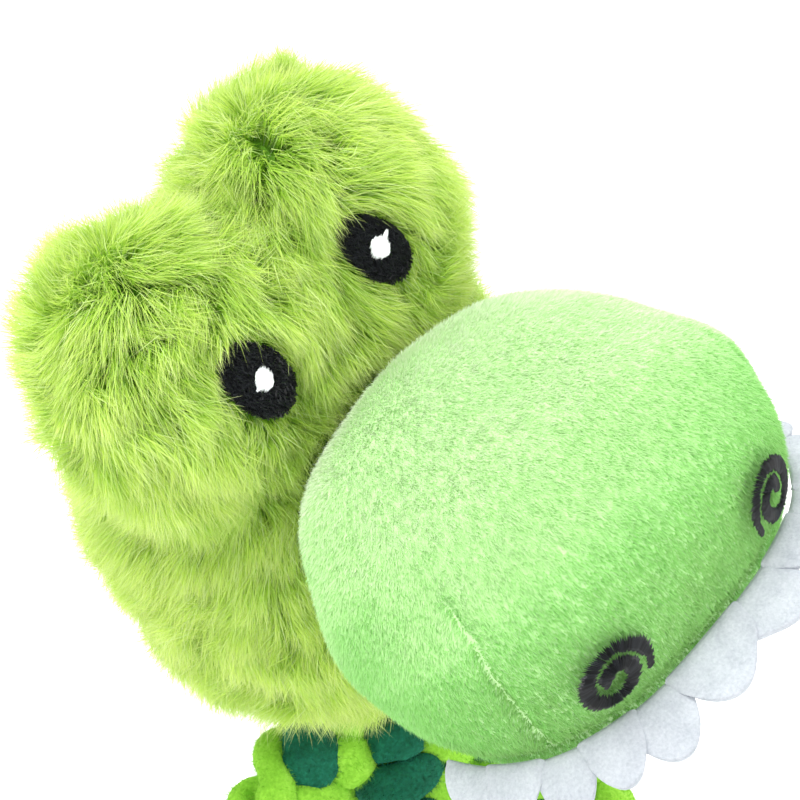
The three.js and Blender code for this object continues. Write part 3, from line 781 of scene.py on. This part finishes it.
# ---- embroidery ----
def stitches(starts, ends, up, width, height, rng):
    """Threads as closed arched bars: an end point, rings of four at a quarter and three quarters, an end
    point."""
    along = unit(ends - starts)
    across = unit(np.cross(up, along)) * (width / 2)
    lift = up * height
    rings = []
    for place in (0.25, 0.75):
        middle = starts + (ends - starts) * place + lift * 0.4
        rings += [middle + across, middle + lift * 0.6, middle - across, middle - lift * 0.6]
    points = np.stack([starts] + rings + [ends], 1)
    turn = np.arange(4)
    after = (turn + 1) % 4
    first = (np.arange(len(starts)) * 10)[:, None, None]
    quads = first + np.stack([1 + turn, 1 + after, 5 + after, 5 + turn], -1)
    fans = np.vstack([np.stack([turn * 0, 1 + after, 1 + turn], -1),
                      np.stack([turn * 0 + 9, 5 + turn, 5 + after], -1)])
    shade = np.repeat(rng.random(len(starts))[:, None], 10, 1)
    height_map = np.tile([0] + [0.25] * 4 + [0.75] * 4 + [1], (len(starts), 1))
    uv = np.stack([shade, height_map], -1).reshape(-1, 2)
    return points.reshape(-1, 3), [quads.reshape(-1, 4), (first + fans).reshape(-1, 3)], uv


def sewn(name, depth, start_y, level, flat_starts, flat_ends, width, height, mat, node, rng):
    """A patch of stitches whose ends are given in the head's X-Z plane and laid on its surface at a
    level."""
    starts = front_point(depth, flat_starts[:, 0], flat_starts[:, 1], start_y, level)
    ends = front_point(depth, flat_ends[:, 0], flat_ends[:, 1], start_y, level)
    up = slope_of(depth, (starts + ends) / 2)
    points, faces, uv = stitches(starts, ends, up, width, height, rng)
    return mesh_piece(name, lean_head(points), faces, mat, "head", [node], uv, False)


def tilted(sign, across, along):
    """Places in the X-Z plane from distances across and along an eye's tilted oval."""
    tilt = EYE_TILT[sign]
    x = sign * EYE_CENTRE[sign][0] + across * math.cos(tilt) - along * math.sin(tilt)
    z = EYE_CENTRE[sign][1] + across * math.sin(tilt) + along * math.cos(tilt)
    return np.stack([x, z], -1)


def eye_ground(sign, mat, node):
    """A thin closed lens under the stitches: a ball's x and z give the place in the oval, its y the
    height."""
    ball, faces = ball_grid(40, 20)
    flat = tilted(sign, ball[:, 0] * (EYE_SIZE[sign][0] - 0.6), ball[:, 1] * (EYE_SIZE[sign][1] - 0.6))
    on = front_point(head_depth, flat[:, 0], flat[:, 1], BUMP_CENTRE[1], 0.0)
    points = on + slope_of(head_depth, on) * (0.3 + 0.6 * ball[:, 2])[:, None]
    return mesh_piece(f"{node}_ground", lean_head(points), faces, mat, "head", [node],
                      np.full((len(points), 2), 0.1))


def eyes(black, white):
    """Each eye is a dense black oval of short stitches along its length, ragged at its edge, with a white
    satin highlight. The left highlight has a spike, the right one a short tail."""
    rng = np.random.default_rng(SEED + 2)
    for side, sign in (("left", 1), ("right", -1)):
        eye_ground(sign, black, f"eye_{side}")
        n = EYE_STITCHES
        turn = rng.random(n) * 2 * np.pi
        reach = np.sqrt(rng.random(n)) * 0.98
        slant = math.pi / 2 + rng.normal(0, 0.45, n)
        half = rng.uniform(0.6, 1.5, n)
        across = EYE_SIZE[sign][0] * reach * np.cos(turn)
        along = EYE_SIZE[sign][1] * reach * np.sin(turn)
        sewn(f"eye_{side}_stitches", head_depth, BUMP_CENTRE[1], rng.uniform(0.5, 1.3, n),
             tilted(sign, across - half * np.cos(slant), along - half * np.sin(slant)),
             tilted(sign, across + half * np.cos(slant), along + half * np.sin(slant)),
             THREAD_WIDTH["eye"], 0.5, black, f"eye_{side}", rng)
        rows = np.linspace(-0.96, 0.96, 20)
        chord = GLINT_SIZE[0] * np.sqrt(1 - rows ** 2) + rng.uniform(-0.2, 0.5, len(rows))
        starts = tilted(sign, 0.5 - chord, GLINT_SIZE[1] * rows)
        ends = tilted(sign, 0.5 + chord, GLINT_SIZE[1] * rows + 0.3)
        middle = tilted(sign, np.full(1, 0.5), np.zeros(1))
        spike = np.array((4.2, 2.6) if sign > 0 else (-3.8, -0.6))
        fan = np.linspace(-0.7, 0.7, 5)[:, None] * np.array((-spike[1], spike[0])) / 5
        starts = np.vstack([starts, middle + fan])
        ends = np.vstack([ends, middle + spike + fan * 0.4])
        sewn(f"eye_glint_{side}_stitches", head_depth, BUMP_CENTRE[1], 1.75, starts, ends,
             THREAD_WIDTH["glint"], 0.5,
             white, f"eye_glint_{side}", rng)


def nostrils(black):
    """Each nostril is a spiral of satin stitches: angle falls and radius shrinks evenly along it, and each
    stitch crosses the stroke with a slightly ragged length."""
    rng = np.random.default_rng(SEED + 3)
    for side, sign in (("left", 1), ("right", -1)):
        t = np.linspace(0, 1, NOSTRIL_STITCHES)
        angle = np.pi * (NOSTRIL_START - 2 * NOSTRIL_TURNS * t)
        radius = NOSTRIL_REACH[0] + (NOSTRIL_REACH[1] - NOSTRIL_REACH[0]) * t
        radial = np.stack([sign * np.cos(angle), np.sin(angle)], -1)
        centre = np.array((sign * NOSTRIL_CENTRE[0] + NOSTRIL_SHIFT, NOSTRIL_CENTRE[1]))
        taper = np.clip(np.minimum(t, 1 - t) * 14, 0.45, 1)
        half = [NOSTRIL_STROKE / 2 * taper + rng.uniform(-0.5, 0.45, len(t)) for _ in range(2)]
        skew = np.stack([-radial[:, 1], radial[:, 0]], -1) * 0.5
        starts = centre + radial * (radius - half[0])[:, None] - skew
        ends = centre + radial * (radius + half[1])[:, None] + skew
        sewn(f"nostril_{side}_stitches", muzzle_depth, MUZZLE_CENTRE[1], 1.2, starts, ends,
             THREAD_WIDTH["nostril"], 0.7, black,
             f"nostril_{side}", rng)


# ---- felt teeth ----
def mouth_line(angle):
    """The mouth seam: a boxy oval round the muzzle's front, with sine and cosine raised to 2 / boxiness.
    Returns its points and the outward directions."""
    step = 1.0
    box = muzzle_surface(ball_grid(220, 150)[0])
    ring = box[np.abs(box[:, 2] - MOUTH_Z) < step]
    half_width, front = ring[:, 0].max(), ring[:, 1].min()
    power = 2 / MUZZLE_BOXINESS
    x = half_width * np.sign(np.sin(angle)) * np.abs(np.sin(angle)) ** power
    y = MUZZLE_CENTRE[1] + (front - MUZZLE_CENTRE[1]) * np.abs(np.cos(angle)) ** power
    outward = np.stack([np.sin(angle), -np.cos(angle), angle * 0], -1)
    return np.stack([x, y, np.full(angle.shape, MOUTH_Z)], -1), outward


def teeth(mat):
    """Rounded felt lobes that overlap a little. Across a lobe its length falls off as one less the distance
    from its middle squared, to the power 0.56. Each droops outwards, cups down at its sides, and lies a
    little above or below its neighbours; the last ones at each end are shorter."""
    rng = np.random.default_rng(SEED + 4)
    edges = np.linspace(-1, 1, TEETH + 1) * np.pi / 2 * TOOTH_ARC
    u, v = np.meshgrid(0.996 * np.sin(np.linspace(-np.pi / 2, np.pi / 2, 25)), np.linspace(0, 1, 14))
    lobes = []
    for index, (a, b) in enumerate(zip(edges[:-1], edges[1:])):
        tall = v * (1 - np.abs(u) ** 2) ** 0.56
        middle = (a + b) / 2 + rng.uniform(-0.02, 0.02)
        half = (b - a) / 2 * rng.uniform(1.18, 1.36)
        root, outward = mouth_line(middle + u * half)
        facing = mouth_line(np.full(u.shape, middle))[1]
        outward = unit(outward * 0.5 + facing * 0.5)
        reach = (TOOTH_LENGTH + rng.uniform(-0.8, 1.0)) * (1 - 0.6 * abs(middle * 2 / np.pi) ** 5) * tall
        droop = TOOTH_DROP * rng.uniform(0.75, 1.1)
        fall = droop * np.maximum(0, reach - 2) + rng.uniform(0.6, 1.6) * u ** 2 * v + 1.5 * tall ** 2
        place = root + outward * (reach * 0.92)[..., None]
        place[..., 2] += -fall + (0.5 if index % 2 else -0.5)
        lobes.append((place.reshape(-1, 3), [grid_faces(*u.shape)]))
    points, faces = join(lobes)
    piece = mesh_piece("teeth_lobes", lean_head(points), faces, mat, "head", ["teeth_strip"])
    wall = piece.modifiers.new("felt", "SOLIDIFY")
    wall.thickness = FELT_THICKNESS * MM
    wall.offset = 0
    places, normals = scatter(points, triangles_of(faces), 1.2, rng)
    side = np.where(rng.random(len(places)) < 0.5, 1, -1)[:, None]
    fuzz, fuzz_faces, uv = nap(places + normals * side * 0.7,
                               normals * side + rng.normal(0, 0.8, places.shape),
                               np.full(len(places), FELT_FUZZ), 0.1, rng)
    mesh_piece("teeth_fuzz", lean_head(fuzz), fuzz_faces, mat, "head", ["teeth_strip"], uv,
               False)


# ---- fleece strips ----
def strip(centres, side, wide, thick, boxiness=2.5, cap=3.0, around=22):
    """A closed padded strip along a path: a squarish oval section, half-widths wide along side and thick
    across it, rounded off over cap at both ends, with a soft fold line along its middle."""
    along = unit(np.gradient(centres, axis=0))
    across = unit(side - along * np.sum(side * along, -1, keepdims=True))
    up = np.cross(along, across)
    run = np.concatenate([[0], np.cumsum(np.linalg.norm(np.diff(centres, axis=0), axis=1))])
    left = np.minimum(run, run[-1] - run) / cap
    scale = np.sqrt(np.clip(1 - (1 - np.clip(left, 0, 1)) ** 2, 0.01, 1))
    turn = np.linspace(0, 2 * np.pi, around, endpoint=False)
    c, s = np.cos(turn), np.sin(turn)
    flat = np.sign(c) * np.abs(c) ** (2 / boxiness)
    tall = np.sign(s) * np.abs(s) ** (2 / boxiness) * (1 - 0.14 * np.exp(-(flat / 0.22) ** 2))
    puff = 1 + 0.05 * np.sin(run * 0.9)[:, None] * np.cos(turn * 2) + 0.03 * np.sin(run * 0.37 + 1)[:, None]
    points = (centres[:, None] + across[:, None] * ((wide * scale)[:, None] * flat * puff)[..., None]
              + up[:, None] * ((thick * scale)[:, None] * tall * puff)[..., None])
    n = len(centres)
    quads = grid_faces(n, around, True)
    here = np.arange(around)
    after = (here + 1) % around
    last = (n - 1) * around
    fans = np.vstack([np.stack([np.full(around, n * around), after, here], -1),
                      np.stack([np.full(around, n * around + 1), last + here, last + after], -1)])
    ends = np.stack([points[0].mean(0), points[-1].mean(0)])
    return np.vstack([points.reshape(-1, 3), ends]), [quads, fans]


def knot_loop(radius, height, thickness):
    """A trefoil, the shape of an overhand knot: x = sin t + 2 sin 2t, y = cos t - 2 cos 2t, z = -sin 3t,
    scaled so that a strip of that half thickness just fills the radius and the height. It runs a little
    past its start."""
    t = np.linspace(0, 2 * np.pi * 1.02, 150)
    size = (radius - thickness) / 3
    centres = np.stack([size * (np.sin(t) + 2 * np.sin(2 * t)), size * (np.cos(t) - 2 * np.cos(2 * t)),
                        -(height / 2 - thickness) * np.sin(3 * t)], -1)
    side = np.tile((0.0, 0.0, 1.0), (len(t), 1))
    full = np.full(len(t), thickness)
    points, faces = strip(centres, side, full, full * 0.96)
    points[:, 2] = np.clip(points[:, 2] + height / 2, 0.2, height)
    return points, faces


def fleece_piece(name, parts, place, body_name, color, nodes):
    """Fleece strips with their raised nap: short fibres about 1 mm long that stand off every face."""
    rng = np.random.default_rng(SEED + len(name))
    points, faces = join(parts)
    density = FLEECE_PER_MM2
    roots, normals = scatter(points, triangles_of(faces), density, rng)
    fibres, fibre_faces, _ = nap(roots, normals + rng.normal(0, 0.45, roots.shape),
                                 np.full(len(roots), FLEECE_NAP),
                                 FLEECE_NAP_WIDTH, rng)
    points, faces = join([(points, faces), (fibres, fibre_faces)])
    mat, slot = (LIME, "fleece_lime") if color == "L" else (DARK, "fleece_dark")
    placed = place(points)
    placed[:, 2] = np.maximum(placed[:, 2], 0)
    return mesh_piece(name, placed, faces, mat, body_name, nodes)


def braid_strand(direction, phase):
    """One strand of the round braid: it circles at an even rate and its reach rises and falls twice a turn.
    It is wide and full where it passes over, narrow where it goes under."""
    turns = (TORSO_TOP - TORSO_BOTTOM) / TORSO_TURN
    t = np.linspace(0, 1, int(48 * turns))
    angle = direction * 2 * np.pi * turns * t + phase
    weave = direction * np.sin(4 * np.pi * turns * t)
    side = np.stack([np.cos(angle), np.sin(angle), angle * 0], -1)
    centres = side * (TORSO_RADIUS - 1.0 + TORSO_WAVE * weave)[:, None]
    centres[:, 2] = TORSO_BOTTOM + (TORSO_TOP - TORSO_BOTTOM) * t
    up = np.cross(unit(np.gradient(centres, axis=0)), side)
    return strip(centres, up, 4.6 + 1.9 * weave, 2.9 + 0.5 * weave)


def body():
    """The braid of four strips on its core, the knot it sits on, and the neck's knot and strips."""
    for half in (0, 1):
        phase = math.pi * half
        fleece_piece(f"body_dark_{half + 1}", [braid_strand(1, phase)], lambda p: p, "body", "D",
                     [f"body_strip_dark_{half + 1}"])
        fleece_piece(f"body_lime_{half + 1}", [braid_strand(-1, phase + math.pi / 2)], lambda p: p,
                     "body", "L",
                     [f"body_strip_lime_{half + 1}"])
    rise = np.linspace(TORSO_BOTTOM - 4, TORSO_TOP + 2, 60)
    middle = np.stack([rise * 0, rise * 0, rise], -1)
    turning = np.stack([np.cos(rise / 9), np.sin(rise / 9), rise * 0], -1)
    fleece_piece("core_roll", [strip(middle, turning, rise * 0 + CORE_SIZE[0], rise * 0 + CORE_SIZE[1])],
                 lambda p: p, "body", "L",
                 ["body_core"])
    fleece_piece("seat_knot_loop", [knot_loop(*SEAT_KNOT)], lambda p: p, "body", "D", ["seat_knot"])
    fleece_piece("neck_knot_loop", [knot_loop(*NECK_KNOT)],
                 lambda p: p + NECK - np.array((0, 0, NECK_KNOT[1] / 2)),
                 "neck_ball", "D", ["neck_knot"])
    t = np.linspace(0, 1, 24)
    risers = []
    for turn in np.arange(4) * np.pi / 2:
        angle = turn + 0.9 * t
        side = np.stack([np.cos(angle), np.sin(angle), t * 0], -1)
        centres = side * (11.5 - 4.5 * t)[:, None]
        centres[:, 2] = NECK[2] - 36 + 25 * t
        risers.append(strip(centres, np.cross(side, (0, 0, 1.0)), t * 0 + RISER_SIZE[0],
                            t * 0 + RISER_SIZE[1]))
    fleece_piece("neck_risers", risers, lambda p: p, "neck_column", "L", ["neck_strips"])


def limb_place(name):
    """Puts points given along +Z from a limb's root into the row frame: its own turn, then its root."""
    joint = next(joint for joint in JOINT_PLACE if joint.startswith(name))
    root = JOINT_PLACE[joint]
    sign = -1 if name.endswith("right") else 1
    if name.startswith("arm"):
        turn = Matrix.Rotation(sign * (math.pi / 2 + ARM_DROP[name]), 3, "Y")
    elif name.startswith("leg"):
        turn = Matrix.Rotation(sign * LEG_SPREAD, 3, "Z") @ Matrix.Rotation(math.pi / 2, 3, "X")
    else:
        turn = Matrix.Rotation(-math.pi / 2, 3, "X")
    return lambda points: points @ np.array(turn).T + root


def limb(name, length, colors):
    """A plait of three strips, x = swing sin a and y = depth sin 2a with a growing evenly along it, thicker
    where it runs into the body; then a knot and three loose ends."""
    place = limb_place(name)
    # Where the plait starts inside the body, and how much thicker it is there.
    inner_end, thicker = (-16, 3.8) if name.startswith("arm") else (-8, 2.4)
    for index, color in enumerate(colors):
        z = np.linspace(inner_end, length + 3, 120)
        angle = 2 * np.pi * (z / PLAIT_TURN + index / 3)
        centres = np.stack([PLAIT_SWING * np.sin(angle), PLAIT_DEPTH * np.sin(2 * angle), z], -1)
        side = np.tile((1.0, 0.0, 0.0), (len(z), 1))
        bulge = np.cos(angle) ** 2
        root = thicker * np.exp(-(z / 14) ** 2)
        plait = strip(centres, side, 4.3 + 1.3 * bulge + root, 3.2 + 0.3 * bulge + root)
        fleece_piece(f"{name}_plait_{index + 1}", [plait], place, name, color,
                     [f"{name}_strip_{index + 1}"])
    knot_points, knot_faces = knot_loop(KNOT_RADIUS, KNOT_HEIGHT, 5.8)
    knot_points[:, 1] = np.clip(knot_points[:, 1], -KNOT_FLAT, KNOT_FLAT)
    knot_points = knot_points + np.array((0, 0, length + GAP))
    fleece_piece(f"{name}_knot_loop", [(knot_points, knot_faces)], place, name, colors[0],
                 [f"{name}_knot"])
    t = np.linspace(0, 1, 30)
    start = length + KNOT_HEIGHT - 1.5
    loose = []
    for where in (-1, 0, 1):
        x = where * (ENDS_SPREAD + 1) * t ** 1.3 + 0.8 * np.sin(5 * t + where)
        y = where * 2.6 + 1.2 * np.sin(3.5 * t + 2 * where) * t
        centres = np.stack([x, y, start + (ENDS_LENGTH + 1) * t], -1)
        side = np.tile((1.0, 0.25 * where, 0.0), (len(t), 1))
        loose.append(strip(centres, side, 3.6 + 1.0 * t, 1.9 - 0.3 * t, 4.0, 1.2))
    fleece_piece(f"{name}_loose_ends", loose, place, name, colors[1], [f"{name}_strip_ends"])


# ---- set ----
def studio():
    """A wide pale floor that curves gently upwards from 2 m out, soft light from high on the left, and a
    small fill. Its height is a smooth step of the distance from the toy."""
    mat, tree = material("matt_white_paper")
    paper = add(tree, "ShaderNodeBsdfPrincipled", {"Base Color": linear("#fdfdfc"), "Roughness": 0.95})
    add(tree, "ShaderNodeOutputMaterial", links={"Surface": paper})
    radius = np.concatenate([[0.01], np.linspace(0.5, 14, 40)])
    turn = np.linspace(0, 2 * np.pi, 64, endpoint=False)
    step = np.clip((radius - 2) / 12, 0, 1)
    height = 2.2 * step ** 2 * (3 - 2 * step) + CAD_BOX[0].z - 0.001
    points = np.stack([np.outer(radius, np.cos(turn)), np.outer(radius, np.sin(turn)),
                       np.repeat(height[:, None], len(turn), 1)], -1).reshape(-1, 3)
    mesh = bpy.data.meshes.new("paper_floor")
    centre = np.arange(len(turn))[None, ::-1]
    mesh.from_pydata(points.tolist(), [], grid_faces(len(radius), len(turn), True)[:, ::-1].tolist()
                     + centre.tolist())
    floor = bpy.data.objects.new("paper_floor", mesh)
    mesh.materials.append(mat)
    bpy.context.scene.collection.objects.link(floor)
    for name, kind, place, size, power in (
            ("sky_light", "SUN", (-0.5, -0.2, 1.1), 0.9, 3.1), ("fill", "AREA", (0.9, -1.3, 0.9), 1.2, 9.0),
            ("back_light", "AREA", (0.3, 1.3, 1.5), 1.0, 12.0)):
        lamp = bpy.data.lights.new(name, kind)
        lamp.energy = power
        if kind == "SUN":
            lamp.angle = size
        else:
            lamp.size = size
        holder = bpy.data.objects.new(name, lamp)
        holder.location = place
        holder.rotation_mode = "QUATERNION"
        holder.rotation_quaternion = (CAMERA_TARGET - Vector(place)).to_track_quat("-Z", "Y")
        bpy.context.scene.collection.objects.link(holder)
    world = bpy.data.worlds.new("white_room")
    world.use_nodes = True
    world.node_tree.nodes["Background"].inputs["Color"].default_value = linear("#ffffff")
    world.node_tree.nodes["Background"].inputs["Strength"].default_value = 0.8
    bpy.context.scene.world = world
    bpy.context.scene.view_settings.view_transform = "Standard"


def camera():
    a, e = CAMERA_AZIMUTH, CAMERA_ELEVATION
    back = Vector((math.sin(a) * math.cos(e), -math.cos(a) * math.cos(e), math.sin(e)))
    lens = bpy.data.cameras.new("camera")
    lens.lens = CAMERA_LENS
    lens.clip_start = 0.01
    holder = bpy.data.objects.new("camera", lens)
    holder.rotation_mode = "QUATERNION"
    aim = (-back).to_track_quat("-Z", "Y").to_matrix().to_4x4()
    turn = aim @ Matrix.Rotation(CAMERA_ROLL, 4, "Z")
    holder.rotation_quaternion = turn.to_quaternion()
    holder.location = CAMERA_TARGET + back * CAMERA_DISTANCE
    bpy.context.scene.collection.objects.link(holder)
    bpy.context.scene.camera = holder


camera()
studio()
BLACK = thread("black_rayon_thread", "#060708", "#2c2f33")
WHITE = thread("white_rayon_thread", "#e6ecf0", "#fbfdff")
LIME = fleece_lime()
DARK = fleece_dark()
head_fur(long_pile_fur(), fur_backing())
muzzle(minky_base(), minky_pile())
stuffing(fibre_fill())
squeaker(squeaker_plastic())
eyes(BLACK, WHITE)
nostrils(BLACK)
teeth(white_felt())
body()
for limb_name, limb_length, limb_colors in (
        ("arm_left", ARM_LENGTH, "LDL"), ("arm_right", ARM_LENGTH, "LDL"),
        ("leg_left", LEG_LENGTH, "DLD"), ("leg_right", LEG_LENGTH, "DLD"), ("tail", TAIL_LENGTH, "LDL")):
    limb(limb_name, limb_length, limb_colors)
